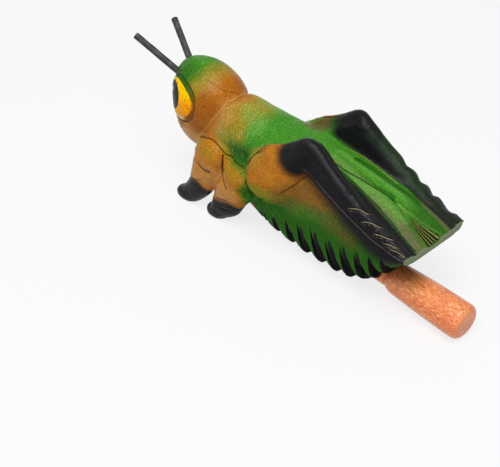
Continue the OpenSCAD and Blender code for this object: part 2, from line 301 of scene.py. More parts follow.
# The wood round the bore, which the saw leaves: x of each end, wood under the bore and half width.
core = bmesh.new()
for end_x, low, wide in ((-40, 7.4, 13.5), (80, 6.8, 8.5)):
    end_z = mouth.z + (end_x - mouth.x) * axis.z / axis.x
    for reach_y, up in ((4, -low), (low - 0.6, -4), (low, 0), (wide, 16), (wide, 40)):
        for side in (-1, 1):
            core.verts.new((end_x * mm, side * reach_y * mm, (end_z + up) * mm))
bmesh.ops.convex_hull(core, input=core.verts)
tools = []
for name, shape in (("saw", wedges), ("web", core)):
    bmesh.ops.recalc_face_normals(shape, faces=shape.faces)
    tools.append(bpy.data.objects.new(name, bpy.data.meshes.new(name)))
    shape.to_mesh(tools[-1].data)
    shape.free()
    scene.collection.objects.link(tools[-1])
apply(tools[0], "BOOLEAN", object=tools[1], operation="DIFFERENCE", solver="MANIFOLD")
apply(carving, "BOOLEAN", object=tools[0], operation="DIFFERENCE", solver="MANIFOLD")
for tool in tools:
    bpy.data.objects.remove(tool)


def drill(obj, start, direction, radius, depth):
    """Bores a round hole that ends at start and runs out along direction."""
    bpy.ops.object.select_all(action="DESELECT")
    bpy.ops.mesh.primitive_cylinder_add(
        vertices=64, radius=radius * mm, depth=depth * mm,
        location=(Vector(start) + direction * depth / 2) * mm,
        rotation=direction.to_track_quat("Z", "Y").to_euler())
    bit = bpy.context.object
    apply(obj, "BOOLEAN", object=bit, operation="DIFFERENCE", solver="MANIFOLD")
    bpy.data.objects.remove(bit)


# The bore for the stick and the sockets of the antennae are drilled once more after the sanding.
bore_depth, bore_radius, bore_overrun = 62, 6.0, 12
rod_socket = Vector((-75.07, 4.8, 62.6))
rod_way = Vector((-0.7830, 0.3006, 0.5446)).normalized()
socket_depth, socket_radius, socket_overrun = 6, 1.75, 8
drill(carving, mouth - axis * bore_depth, axis, bore_radius, bore_depth + bore_overrun)
for side in (1, -1):
    way = Vector((rod_way.x, side * rod_way.y, rod_way.z))
    start = Vector((rod_socket.x, side * rod_socket.y, rod_socket.z))
    drill(carving, start - way * socket_depth, way, socket_radius, socket_depth + socket_overrun)

# The cut lines, from the given points of each: points, half width, depth, both sides, and the side to which
# the ground falls back from the line.
line_cuts = [
    # Head: nape crease, brow, double mouth crease.
    ([(-51.6, -7.4, 67.5), (-47.2, -6.1, 66.2), (-42.8, -4.2, 64), (-40.5, -1.1, 62.7), (-39.5, 1.9, 61.6)],
     0.6, 0.25, False, None),
    ([(-74.3, -5.4, 61), (-72.4, -8.2, 65), (-67.5, -9.4, 67.2)], 0.8, 0.5, True, None),
    ([(-60, -14.6, 43), (-66, -11.6, 42), (-71.3, -6.5, 43.6), (-73.6, 0, 45)], 0.9, 0.6, True, None),
    ([(-62, -13.4, 40.6), (-66.5, -10.6, 39.8), (-71, -5.5, 41), (-73, 0, 42.2)], 0.7, 0.4, True, None),
    # Lower margin of the pronotum, over the shoulder lobes and back to the thigh.
    ([(-50.2, -12.6, 40.2), (-43.8, -14.7, 43.6), (-38.6, -15, 43.8), (-35, -15.3, 42.2),
      (-32.3, -14.8, 40.3), (-26.7, -14.1, 38.5), (-20.3, -14.9, 38.2)], 0.8, 0.6, True, None),
    # Front legs: crescents under the shoulder lobes and knuckle lines over the feet.
    ([(-52, -15.8, 32.5), (-51.4, -16.4, 31.4), (-49.7, -17.4, 30.4), (-47.2, -18.1, 28.9),
      (-44.4, -18.1, 27.9), (-40.3, -17.7, 27.6)], 1.7, 0.75, True, (0, 0, -1)),
    ([(-56, -15, 17), (-52.7, -16.6, 17.7), (-46.9, -17.3, 19.8)], 0.7, 0.55, True, (0, 0, -1)),
    ([(-33.2, -16.2, 32.3), (-32.6, -16.6, 29.9), (-31.4, -17.7, 28.2), (-30.3, -18.1, 26.2),
      (-29, -18.3, 24.7)], 1.6, 0.75, True, (-0.7, 0, -0.7)),
    ([(-32.9, -15.7, 39.3), (-32.5, -16.4, 36.1), (-33.1, -16, 31.8)], 0.9, 0.9, True, None),
    ([(-33.1, -16, 31.8), (-34.2, -16.5, 27), (-37.4, -15.7, 22)], 0.9, 0.35, True, None),
    ([(-38, -14.8, 13.5), (-30.4, -17.1, 16.6), (-22.2, -15.5, 17.2)], 0.7, 0.6, True, (0, 0, -1)),
    ([(-39, -15.4, 9.3), (-34, -16, 10.2), (-28.4, -15.9, 11)], 0.6, 0.4, True, None),
    # Thigh: twisted double line round its front, its lower edge and the fold under the knee.
    ([(-17.4, -17, 33), (-17.3, -17.6, 40), (-13.6, -18.5, 47.4), (-8.8, -17.9, 54.1), (-4, -16, 58.6),
      (2, -14.6, 62), (8, -14.2, 65)], 0.9, 0.8, True, (-0.7, 0, 0.7)),
    ([(-13.2, -18.6, 45.6), (-10.8, -18.2, 51.2), (-6, -18.2, 55.2), (-1.4, -15.6, 60.2), (4, -15.8, 62)],
     0.6, 0.5, True, None),
    ([(-17.4, -17, 33), (-15.9, -17, 30.3), (-14.4, -15.4, 27.3), (-5, -18.6, 30.5), (0.7, -18.2, 31.5),
      (5.6, -17.1, 33.2)], 0.8, 0.7, True, (0, 0, -1)),
    ([(19.1, -17.5, 54.1), (13.5, -18.1, 47.2), (6, -19.2, 39.6)], 0.8, 0.5, True, (0.7, 0, -0.7)),
    # Lower edge of the shin.
    ([(18.7, -18.5, 56.4), (32.7, -18.3, 49.6), (46.2, -18.8, 44.3), (60, -19.1, 40), (72.1, -20.1, 39.8)],
     0.8, 0.7, True, (0, 0, -1)),
]
# Folds of the wings: outer and inner edge of the near wing.
fold_cuts = [
    ([(28, -6.2, 56.6), (33.8, -6.9, 55), (42.2, -7.7, 52.5), (50.2, -8, 49.7), (57.4, -8.5, 46.7),
      (64.2, -9.7, 43.8), (72, -10.5, 40.6)], 0.8, 0.7, False, (0, -1, 0)),
    ([(14, -4.4, 58), (24, -4.6, 57), (31.5, -4.4, 55.8), (37.4, -3.2, 54.5), (42.5, -2.2, 53),
      (49.9, 0.2, 49.7), (52.9, 0.6, 49)], 0.9, 0.8, False, (0, 1, 0)),
]
# Cuts with a yellow-green line: painted highlight along the edges of the far wing, the sides of the fan and
# the tip of the leaf, and pale chipped paint on the top of the second lobe.
vein_cuts = [
    ([(8, 3.9, 57.8), (16.5, 7.3, 57.2), (20.9, 7.8, 56.8), (28.6, 9, 55.1), (38.4, 8.7, 52.8),
      (46, 9.2, 50.6)], 0.8, 0.7, False, (0, 1, 0)),
    ([(52.9, 0.6, 49), (56.3, 0.7, 46.8), (60.7, -0.5, 45), (66.9, -3, 43.2), (73, -5.2, 40.6)],
     0.8, 0.7, False, (0, 1, 0)),
    ([(52.9, 0.6, 49), (60.4, 1.8, 46), (67.2, 3.7, 43), (73, 5.9, 40.6)], 0.8, 0.7, False, (0, -1, 0)),
    ([(28.4, -0.9, 56.5), (30.9, 0.3, 55.6), (35.8, 0.6, 55.1), (39.4, 1.4, 54.1), (42.2, 0.2, 52.5)],
     0.7, 0.4, False, (0, 1, 0)),
    ([(-32.1, -15.7, 38.1), (-27.5, -15.4, 37.1), (-20.4, -15.8, 37)], 0.7, 0.4, True, None),
]
# Front edge of the pronotum: a pale line of painted highlight along the edge.
edge_cuts = [(mirrored(collar), 0.9, 0.55, True, (-0.7, 0, 0.7))]
# Slanting knife cuts across the near shin, one after the other towards the tail.
shin_cuts = [
    [(44.8, -19.3, 51.5), (48.8, -18.2, 52.6), (51.8, -15.9, 51)],
    [(52.2, -19, 48.6), (55.8, -17.5, 49), (58.2, -15.5, 47.5)],
    [(58.3, -18.8, 45.5), (61.9, -17.8, 46), (64.3, -15.6, 44.5)],
    [(63.7, -18.8, 43.7), (65.8, -18, 43.8), (67.8, -16.9, 43.2)],
    [(66.9, -18.6, 42.3), (69.8, -18, 42.2), (72.5, -17.7, 41.6)],
]
# Edge of the shin: a grey line, painted highlight of the edge, and paint rubbed grey.
shin_edge_cuts = [
    ([(18.7, -19, 57.4), (32.7, -19.2, 50.6), (46.2, -19.6, 45.3), (60, -20, 41), (72.1, -20.4, 40.8)],
     0.8, 0.35, True, None),
]


def trace(line, surface, stride=0.6):
    """A smooth line through the given points, laid on the surface."""
    p = np.array(line, float)
    p = np.vstack([2 * p[0] - p[1], p, 2 * p[-1] - p[-2]])
    smooth = []
    for a, b, c, d in zip(p, p[1:], p[2:], p[3:]):
        for t in np.arange(0, 1, stride / np.linalg.norm(c - b)):
            smooth.append(b + 0.5 * t * (c - a + t * (2 * a - 5 * b + 4 * c - d + t * (3 * (b - c) + d - a))))
    smooth.append(p[-2])
    return np.array([surface.find_nearest(Vector(q * mm))[0] for q in smooth]) / mm


surface = BVHTree.FromObject(carving, bpy.context.evaluated_depsgraph_get())
traced = []
for paint, cuts in (("lined", line_cuts), ("folded", fold_cuts), ("cut_edge_highlight_and_chips", vein_cuts), ("collar_highlight", edge_cuts),
                    ("edge_highlight_and_scuff", shin_edge_cuts),
                    ("bare", [(cut, 0.7, 0.7, False, None) for cut in shin_cuts])):
    for line, half_width, depth, both, falls in cuts:
        traced.append((paint, trace(line, surface), half_width, depth, falls))
        if both:
            way = None if falls is None else (falls[0], -falls[1], falls[2])
            traced.append((paint, trace(mirrored(line), surface), half_width, depth, way))

# Each eye is set out in its own plane on the cheek: a forwards, b upwards and c outwards, from its middle.
eye_middle = np.array((-64.2, -14.5, 55.3))
eye_out = np.array((-0.43, -0.88, 0.2))
eye_forward = np.array((-0.898, 0.439, 0.0))
eye_up = np.array((0.088, 0.180, 0.980))
eye_tilt = math.radians(11)
eye_depth, far_off = 7, 20.0
iris_middle, iris_half = (0.9, 0.8), (10.5, 8.0)
pupil_middle, pupil_half = (4.6, 0.5), (7.5, 6.6)
rim_middle, rim_half = (0.9, 0.1), (11.3, 10.2)
glint_middle, glint_half = (6.0, 2.0), (1.3, 1.3)


def eye_oval(place, middle, half, point=0, full=2.25):
    """Signed distance in mm, about, from an oval on the eye's plane, and far_off behind the eye. point
    narrows its front end, and full makes it fuller at its corners than an ellipse, which has 2."""
    near_side = mirrored(one_sided(place)) - eye_middle
    a = near_side @ eye_forward - middle[0]
    b = near_side @ eye_up - middle[1]
    c = near_side @ eye_out
    a, b = a * math.cos(eye_tilt) + b * math.sin(eye_tilt), b * math.cos(eye_tilt) - a * math.sin(eye_tilt)
    b = b / (1 - point * fade(0.2 * half[0], half[0], a))
    gap = ((np.abs(a / half[0]) ** full + np.abs(b / half[1]) ** full) ** (1 / full) - 1) * min(half)
    return np.where(c > -eye_depth, gap, far_off)


# A finer mesh where the cuts and the eyes are.
near_cut = np.full(len(carving.data.vertices), 10.0)
place = points(carving.data)
for paint, line, half_width, depth, falls in traced:
    near_cut = np.minimum(near_cut, offsets(place, line, 4)[0] - half_width)
near_cut = np.minimum(near_cut, np.abs(eye_oval(place, rim_middle, rim_half)) - 1)
finer = bmesh.new()
finer.from_mesh(carving.data)
finer.verts.ensure_lookup_table()
chosen = [e for e in finer.edges if all(near_cut[v.index] < 0.5 for v in e.verts)]
bmesh.ops.subdivide_edges(finer, edges=chosen, cuts=1, use_grid_fill=True)
bmesh.ops.triangulate(finer, faces=[f for f in finer.faces if len(f.verts) > 4])
finer.to_mesh(carving.data)
finer.free()

# Cutting: each line is a small V with the ground falling back on one side, the fan between the wings is sunk,
# and the eye rises out of its rim.
place = points(carving.data)
outward = facing(carving.data)
x, y, z = place.T
cut = np.zeros(len(place))
fall_share, fall_width = 0.8, 4.5
full_ink_depth = 0.7
fan_depth, rim_depth, rim_width = 1.1, 0.9, 0.9
ink_width = {"lined": 0.42, "folded": 0.6, "cut_edge_highlight_and_chips": 0.2, "collar_highlight": 0.22, "bare": 0.2, "edge_highlight_and_scuff": 0.3}
ink = {name: np.zeros(len(place)) for name in ink_width}
off = {name: np.full(len(place), 9.0) for name in ink_width}
for paint, line, half_width, depth, falls in traced:
    gap, way, heading = offsets(place, line, 5)
    cut = np.maximum(cut, depth * np.clip(1 - gap / half_width, 0, 1) ** 1.2)
    if falls is not None:
        beyond = way @ (np.array(falls) / np.linalg.norm(falls))
        cut = np.maximum(cut, fall_share * depth * fade(0, 0.5, beyond) * fade(fall_width, 0.5, gap))
    # Strength of the paint in the line, and the place across it in half widths, with its side.
    line_side = np.where((np.cross(outward, heading) * way).sum(1) < 0, -1, 1)
    apart = line_side * gap / (ink_width[paint] * half_width)
    closer = np.abs(apart) < np.abs(off[paint])
    off[paint][closer] = apart[closer]
    ink[paint] = np.maximum(ink[paint], min(1, depth / full_ink_depth) * fade(1.3, 0.8, gap))
fan_near = np.interp(x, [52.9, 56.3, 60.7, 66.9, 73], [0.6, 0.7, -0.5, -3, -5.2])
fan_far = np.interp(x, [52.9, 60.4, 67.2, 73], [0.6, 1.8, 3.7, 5.9])
fan = fade(0.7, 1.3, np.minimum(y - fan_near, fan_far - y - 0.3)) * fade(59, 62.5, x)
fan *= fade(0.3, 0.6, outward[:, 2])
cut = np.maximum(cut, fan_depth * fan)
rim = eye_oval(place, rim_middle, rim_half)
cut = np.maximum(cut, rim_depth * np.clip(1 - np.abs(rim) / rim_width, 0, 1))
place -= outward * cut[:, None]
carving.data.vertices.foreach_set("co", (place * mm).ravel())
carving.data.update()

# The airbrush: each pass is a coat, a path on one side of the body, the radius of full cover, the radius
# where it is gone and its strength. Both sides are sprayed alike. Some coats lay painted highlight and
# painted shade, as said at each.
passes = [
    # Face, lobe, thigh rim and flank.
    ("green", [(-69, 0, 66), (-69, 1, 66)], 11, 25, 1),
    ("green", [(-75, 0, 60), (-74, 0, 46), (-70, 0, 36)], 5, 11, 0.9),
    ("green", [(-27, 15, 39), (-22, 15, 38)], 0.5, 4.5, 0.7),
    ("green", [(-19, 16.5, 35), (-18.4, 17, 42), (-15.2, 18, 49), (-10.6, 17.3, 56), (-3.5, 15.5, 61.6),
               (4, 14, 65)], 1.4, 3, 1),
    ("green", [(-14, 18, 27), (0, 18, 29)], 1, 5, 0.5),
    ("green", [(-4, 6, 20), (15, 8, 18), (45, 10, 26), (70, 14, 36)], 18, 25, 1),
    # Deeper green on the snout, and painted shade in deeper green low on the pronotum and over the belly.
    ("deep_green_and_shade", [(-73, 3, 66), (-71, 8, 64)], 2, 11, 0.9),
    ("deep_green_and_shade", [(-67, 7, 67.5), (-60.5, 8.5, 68)], 1, 8, 0.65),
    ("deep_green_and_shade", [(-25, 15, 43), (-18, 15, 44)], 2, 9, 0.9),
    ("deep_green_and_shade", [(-19, 15, 28), (-14, 15, 26.5)], 2, 6, 1),
    ("deep_green_and_shade", [(-12, 17, 26), (6, 18, 30)], 2, 7, 0.6),
    ("deep_green_and_shade", [(-4, 6, 14), (15, 8, 12), (45, 10, 23), (70, 14, 34)], 14, 25, 0.9),
    # Bright green over the top of the pronotum: paler green paint, and painted highlight on the top.
    ("pale", [(-26, 4, 60.5), (-19, 8, 58)], 2, 8, 0.45),
    # Pale tan where the spray is thin: jaw, collar and shanks. On the crown and the collar it is also a
    # painted highlight.
    ("tan", [(-60, 13.5, 39), (-56, 14, 36)], 3, 10, 0.7),
    ("tan", [(-36, 8, 59), (-35, 13, 50)], 2, 9, 0.7),
    ("tan", [(-50, 5, 69.5), (-49, 11, 66)], 1, 7, 0.5),
    ("tan", [(-55.5, 11.3, 64.5), (-53.4, 8.9, 67), (-52.2, 4.8, 69.1)], 0.5, 4, 0.6),
    ("tan", [(-50, 16, 22), (-40, 17, 26)], 3, 9, 0.5),
    ("tan", [(-33, 16, 20), (-26, 17, 22)], 3, 8, 0.5),
    # Olive gold where thin green lies over the ochre: crown, pronotum, lobes and the foot of the thigh.
    ("gold", [(-53, 0, 71), (-52, 7, 69), (-55, 12, 65)], 1, 6, 0.25),
    ("gold", [(-28, 2, 61), (-34, 9, 57), (-33, 14, 47)], 2, 8, 0.35),
    ("gold", [(-30, 7, 59), (-27, 12, 53)], 2, 9, 0.8),
    ("gold", [(-48, 15, 39), (-40, 16, 37)], 1, 7, 0.6),
    ("gold", [(-29, 17, 34), (-24, 17, 33)], 1, 6, 0.6),
    ("gold", [(-10, 18, 32), (4, 18, 34)], 1, 7, 0.8),
    ("gold", [(-15, 17.5, 40), (-12, 18.7, 47.8), (-7, 18, 53.5)], 0.5, 5, 0.6),
    # Burnt ochre on the cheek, nape, top of the collar and the root of the thigh.
    ("brown", [(-47, 13, 57), (-50, 14.5, 49)], 3, 12, 0.7),
    ("brown", [(-41, 3, 64.5), (-41, 5, 64)], 2, 9, 0.4),
    ("brown", [(-37, 0, 62.5), (-37, 2, 62.3)], 1, 7, 0.5),
    # Olive on the flank, in the shade of the shin.
    ("olive", [(7, 18, 36.5), (19, 17, 43.5), (30, 17.5, 41), (42, 17, 38)], 3, 12, 0.65),
    # Knee, both sides of the shin, and the feet.
    ("black", [(13, 18, 60.5), (23, 16, 69)], 6, 12.5, 1),
    ("black", [(20, 18, 63), (32, 18, 57.5), (46, 18, 50), (60, 18, 43.5), (74, 18.5, 41)], 6.5, 16, 1),
    ("black", [(14, 12, 61), (24, 11, 60), (40, 11, 53), (60, 13, 45), (74, 14, 41)], 3, 9, 1),
    ("black", [(-51, 12.5, 11), (-57, 12, 6), (-68, 11.3, 2)], 7, 10, 1),
    ("black", [(-29, 12.5, 9), (-38, 12, 5), (-48, 11.3, 2)], 6.5, 9.5, 1),
]
# The wings lie one over the other, so they aren't sprayed alike: the near one is pale, partly as painted
# highlight, and ends in painted shade in drab, and the folds are dark with painted shade, with painted
# highlight beside the far fold.
wing_passes = [
    ("olive", [(-3, 11, 57.5), (3, 12, 60)], 1.5, 6, 0.9),
    ("green", [(30, 17, 60), (46, 18, 50), (60, 18, 43.5), (74, 18.5, 41)], 9, 12, 1),
    # Painted shade in drab: between the near wing and the shin, at the near wing's tip and beside the far
    # shin.
    ("drab_shade", [(46, -7.2, 51.5), (60, -7.8, 46)], 0.4, 3.4, 0.5),
    # Sage green paint with painted highlight over the near wing.
    ("sage_and_highlight", [(20, -3.5, 57.5), (36.9, -4.6, 54.6), (45.5, -4.4, 51.8), (53.7, -4.2, 48.5), (60, -5, 45.8)],
     1.2, 4.2, 0.8),
    ("drab_shade", [(62.2, -6.8, 44.9), (70.1, -8.4, 41.2), (74, -9, 39.6)], 1, 4.5, 0.8),
    ("drab_shade", [(60, 12, 45), (74, 12, 39.6)], 1, 4, 0.7),
    # Painted highlight in pale green beside the far wing's fold, and painted shade in deep green along the
    # folds.
    ("pale", [(20, 2.5, 57), (36, 3.4, 55), (46, 4.4, 51.5), (56, 5, 48), (66, 7, 43.2)], 0.6, 2.6, 0.5),
    ("deep_green_and_shade", [(28, 4.4, 56), (37.6, 5.5, 54), (47.4, 7.2, 50.9), (55.8, 9.4, 47.2), (65, 9.6, 43.5),
              (73.4, 8.6, 39.7)], 0.6, 2.6, 1),
    ("deep_green_and_shade", [(14, -3, 58), (31.5, -3.2, 55.8), (42.5, -1.2, 53), (50, 1.2, 49.7)], 0.5, 2.2, 0.9),
]
place = points(carving.data)
outward = facing(carving.data)
x, y, z = place.T
coats = {coat: np.zeros(len(place)) for coat, *_ in passes + wing_passes}
for sprayed_side, sweep in ((one_sided(place), passes), (place, wing_passes)):
    for coat, path, full, gone, strength in sweep:
        spray = strength * fade(gone, full, offsets(sprayed_side, np.array(path, float), gone + 1)[0])
        coats[coat] = np.maximum(coats[coat], spray)
# On the pronotum the green comes in over the ochre from behind, and it covers the wings. The legs stay ochre.
coats["green"] *= np.maximum(np.maximum(fade(-21, -17.5, x), fade(33, 37, z)), fade(-52, -58, x))
ochre_end = np.interp(z, [36, 42, 48, 54, 61], [-30, -35, -38, -32, -23])
behind = fade(ochre_end - 8, ochre_end + 11, x) * fade(33, 38, z) * fade(16, 14, np.abs(y))
coats["green"] = np.maximum(coats["green"], behind)
# No black falls on the wings, inside their outer edges.
wing_edge = np.where(y < 0, np.interp(x, [6, 14, 28, 50, 64, 74], [9, 7, 6.5, 8.2, 9.8, 10.8]),
                     np.interp(x, [6, 20, 38, 57, 74], [9, 8, 8.9, 11.2, 11.2]))
coats["black"] *= 1 - fade(-2, 2, x) * fade(0.9, -0.7, np.abs(y) - wing_edge) * fade(30, 38, z)
# The black lies thin over green along the far shin.
coats["black"] *= 1 - 0.1 * fade(26, 36, x) * fade(11, 14, y) * fade(34, 38, z)
# The notches are black inside: each is a V that narrows from the keel up the flank.
keel = np.interp(x, [-16, 0, 18, 30, 38, 46, 52, 58, 64, 70],
                 [3, 0, -0.6, -0.2, 2.2, 7, 11.6, 18.4, 26.4, 33])
ridge_top = ridge_height(x)
up_flank = np.clip((ridge_top - z) / (ridge_top - keel), 0, 1)
first_notch_x, notch_run, notch_crowding, notch_half = -16.53, 77.5, 0.17, 2.9
for u in np.linspace(0, 1, len(saw_cuts)):
    notch_x = first_notch_x + notch_run * ((1 + notch_crowding) * u - notch_crowding * u ** 3)
    inside = notch_half * up_flank ** 0.6 - np.abs(x - notch_x)
    coats["black"] = np.maximum(coats["black"], fade(-0.5, 0.5, inside) * fade(0, 0.06, up_flank))
# The keel's edge is black too.
coats["black"] = np.maximum(coats["black"], fade(2.4, 0.8, z - keel) * fade(-20, -12, x) * fade(61, 57, x))
# Gap to the nearest saw cut, under 0 inside it.
sawn = np.full(len(place), far_off)
for top_x, top_z, front_x, rear_x, low_z in saw_cuts:
    down = (top_z - z) / (top_z - low_z)
    front_gap = top_x + down * (front_x - top_x) - x
    rear_gap = x - top_x - down * (rear_x - top_x)
    sawn = np.minimum(sawn, np.maximum(front_gap, rear_gap))
# Undersides, which the stick and the table rub, are duller than the rest.
dull = fade(0.25, -0.15, outward[:, 2]) * fade(-30, -18, x)
tail_end = fade(0.7, 0.9, outward[:, 0]) * fade(72, 73, x)
from_mouth = place - np.array(mouth)
along_bore = from_mouth @ np.array(axis)
from_axis = np.linalg.norm(from_mouth - along_bore[:, None] * np.array(axis), axis=1)
drilled = fade(bore_radius + 0.7, bore_radius + 0.3, from_axis)
drilled *= fade(0, -1, along_bore)
# A grey streak along both shin ridges: painted highlight of the ridges, and worn paint.
ridge_highlight_and_wear = np.zeros(len(place))
shin_ridge = [(18.7, -17.2, 71), (26.9, -17.6, 66.9), (36.1, -18, 60.1), (47.5, -18.2, 53.6),
              (60.8, -16.8, 46.6), (73.2, -17.7, 41.3)]
for path in (shin_ridge, mirrored(shin_ridge)):
    ridge_highlight_and_wear = np.maximum(ridge_highlight_and_wear, 0.3 * fade(1.6, 0.2, offsets(place, trace(path, surface), 4)[0]))
# Where the green and the collar are rubbed by hands.
rubbed = np.maximum(coats["green"], fade(38, 42, z) * fade(-41, -38, x)) * fade(2, -8, x)
masks = {
    **coats,
    **ink,
    **{name + "_off": value for name, value in off.items()},
    "fan": fan,
    "across_fan": (y - fan_near) / np.maximum(fan_far - fan_near, 0.1),
    "sawn": sawn,
    "tail_end": tail_end,
    "drilled": drilled,
    "ridge_highlight_and_wear": ridge_highlight_and_wear,
    "dull": dull,
    "rubbed": rubbed,
    "rim": eye_oval(place, rim_middle, rim_half),
    "rim_low": fade(51, 48.5, z) * fade(-57.5, -59.5, x),
    "rim_high": fade(55, 61, z),
    "iris": eye_oval(place, iris_middle, iris_half, 0.2),
    "pupil": eye_oval(place, pupil_middle, pupil_half, 0.5, 2),
    "glint": eye_oval(place, glint_middle, glint_half, 0, 2),
}
for name, value in masks.items():
    carving.data.attributes.new(name, "FLOAT", "POINT").data.foreach_set("value", value)


def per_metre(size_mm):
    """Texture scale at which one feature of the pattern is about this many millimetres wide."""
    return 1000 / size_mm


# Airbrushed paint under satin lacquer, over sanded softwood: soft speckled edges between the colours, dark
# lines in the cuts that are stronger where a cut is deeper, fine cross scratches and open pores.
lacquer = bpy.data.materials.new("airbrushed_lacquer_on_softwood")
lacquer.use_nodes = True
where = add(lacquer, "ShaderNodeTexCoord").outputs["Object"]
across = add(lacquer, "ShaderNodeMapping", {"Scale": (1, 0.1, 0.1)}, {"Vector": where}).outputs["Vector"]
# Clouds of 9 mm in the ochre, grains of 0.8 mm in each coat, grit of 0.6 mm over all, scratches 0.5 mm wide.
noise = {}
for name, size_mm, detail, laid in [
    ("mottle", 9, 4, where),
    ("speckle", 0.8, 3, where),
    ("grit", 0.6, 2, where),
    ("scratches", 0.5, 2, across),
]:
    noise[name] = add(lacquer, "ShaderNodeTexNoise", {"Scale": per_metre(size_mm), "Detail": detail},
                      {"Vector": laid}).outputs["Fac"]
painted = {name: add(lacquer, "ShaderNodeAttribute", attribute_name=name).outputs["Fac"] for name in masks}
rib_count = 6.0
ribs = add(lacquer, "ShaderNodeMath", {1: rib_count}, {0: painted["across_fan"]},
           operation="MULTIPLY").outputs[0]
ribs = add(lacquer, "ShaderNodeMath", {1: 0.5}, {0: ribs}, operation="PINGPONG").outputs[0]
rim_gap = add(lacquer, "ShaderNodeMath", links={0: painted["rim"]}, operation="ABSOLUTE").outputs[0]

# Each cover is 0 where its source has the first value and 1 where it has the second.
cover = {}
for name, source, gone, full in [
    ("clouds", noise["mottle"], 0.25, 0.75),
    ("grains", noise["speckle"], 0.25, 0.75),
    ("scratched", noise["scratches"], 0.62, 0.7),
    ("chipped", noise["grit"], 0.73, 0.76),
    ("flecked", noise["grit"], 0.7, 0.76),
    # Specks that break up the painted highlight on the collar.
    ("collar_highlight_breaks", noise["speckle"], 0.35, 0.6),
    ("iris_dots", noise["speckle"], 0.605, 0.66),
    ("ribs", ribs, 0.15, 0.06),
    ("sawn", painted["sawn"], 0.3, 0.15),
    ("lid", painted["rim"], 0.0, -0.3),
    ("rim_line", rim_gap, 0.45, 0.2),
    # The cream crescent under the eye is a painted highlight on the lower rim.
    ("cream_highlight", painted["iris"], 1.3, 0.9),
    ("iris", painted["iris"], 0.12, -0.12),
    ("pupil", painted["pupil"], 0.12, -0.12),
    ("glint", painted["glint"], 0.12, -0.12),
]:
    cover[name] = add(lacquer, "ShaderNodeMapRange", {"From Min": gone, "From Max": full},
                      {"Value": source}).outputs[0]
# A painted line is as strong as its cut is deep, and ends sharply on both sides.
for name in ink_width:
    apart = add(lacquer, "ShaderNodeMath", links={0: painted[name + "_off"]}, operation="ABSOLUTE").outputs[0]
    sharp = add(lacquer, "ShaderNodeMapRange", {"From Min": 1.25, "From Max": 0.75},
                {"Value": apart}).outputs[0]
    cover[name] = add(lacquer, "ShaderNodeMath", links={0: painted[name], 1: sharp},
                      operation="MULTIPLY").outputs[0]
# Scratches, chips, flecks, ribs and the painted highlight on the collar lie only on a part of the paint.
for name, first, second in [
    ("scratched", cover["scratched"], painted["rubbed"]),
    ("chipped", cover["chipped"], painted["green"]),
    ("flecked", cover["flecked"], painted["black"]),
    ("ribs", cover["ribs"], painted["fan"]),
    ("collar_highlight", cover["collar_highlight"], cover["collar_highlight_breaks"]),
    ("cream_highlight", cover["cream_highlight"], painted["rim_low"]),
]:
    cover[name] = add(lacquer, "ShaderNodeMath", links={0: first, 1: second}, operation="MULTIPLY").outputs[0]

# The coats over the ochre, in the order in which they are sprayed, each with a light and a dark grain. Tan,
# pale and sage are partly painted highlight, deep is partly painted shade and drab is painted shade. Where a
# coat thins out, it breaks up into specks.
coat_paints = [
    # Pale tan paint, and painted highlight on the crown and the collar.
    ("tan", "#C99A5C", "#B88243"),
    ("brown", "#99581C", "#844512"),
    ("green", "#488E28", "#337816"),
    ("gold", "#A58A2A", "#8F7A1C"),
    # Paler green paint, and painted highlight on the top of the pronotum and beside the far wing's fold.
    ("pale", "#74AB50", "#5C9A3C"),
    # Deeper green paint, and painted shade low on the body and along the wing folds.
    ("deep_green_and_shade", "#2A6612", "#1D5008"),
    # Sage green paint, and painted highlight on the near wing.
    ("sage_and_highlight", "#709A4B", "#5D8739"),
    # Painted shade in drab grey brown on the wings.
    ("drab_shade", "#74734E", "#615E3E"),
    ("olive", "#6B5A2C", "#544520"),
    ("black", "#1D1C1F", "#121114"),
]
specks = add(lacquer, "ShaderNodeMath", {1: 0.5}, {0: noise["speckle"]}, operation="SUBTRACT").outputs[0]
colour = add(lacquer, "ShaderNodeMix", {6: linear("#C27C22"), 7: linear("#A96515")}, {0: cover["clouds"]},
             data_type="RGBA").outputs[2]
for coat, light, dark in coat_paints:
    if coat == "black":
        # Before the black: pale scratches, and grit that makes the colours lighter and darker by a third.
        pale_scratches = add(lacquer, "ShaderNodeMath", {1: 0.3}, {0: cover["scratched"]},
                             operation="MULTIPLY").outputs[0]
        colour = add(lacquer, "ShaderNodeMix", {7: linear("#C4D6A0")}, {0: pale_scratches, 6: colour},
                     data_type="RGBA").outputs[2]
        tone = add(lacquer, "ShaderNodeMapRange",
                   {"From Min": 0.3, "From Max": 0.7, "To Min": 1.35, "To Max": 0.62},
                   {"Value": noise["grit"]}).outputs[0]
        colour = add(lacquer, "ShaderNodeVectorMath", links={0: colour, "Scale": tone},
                     operation="SCALE").outputs[0]
    edge = add(lacquer, "ShaderNodeMath", {1: 0.5}, {0: painted[coat]}, operation="PINGPONG").outputs[0]
    shift = add(lacquer, "ShaderNodeMath", links={0: specks, 1: edge}, operation="MULTIPLY").outputs[0]
    amount = add(lacquer, "ShaderNodeMath", {1: 1.6}, {0: shift, 2: painted[coat]}, operation="MULTIPLY_ADD",
                 use_clamp=True).outputs[0]
    paint = add(lacquer, "ShaderNodeMix", {6: linear(light), 7: linear(dark)}, {0: cover["grains"]},
                data_type="RGBA").outputs[2]
    colour = add(lacquer, "ShaderNodeMix", links={0: amount, 6: colour, 7: paint},
                 data_type="RGBA").outputs[2]

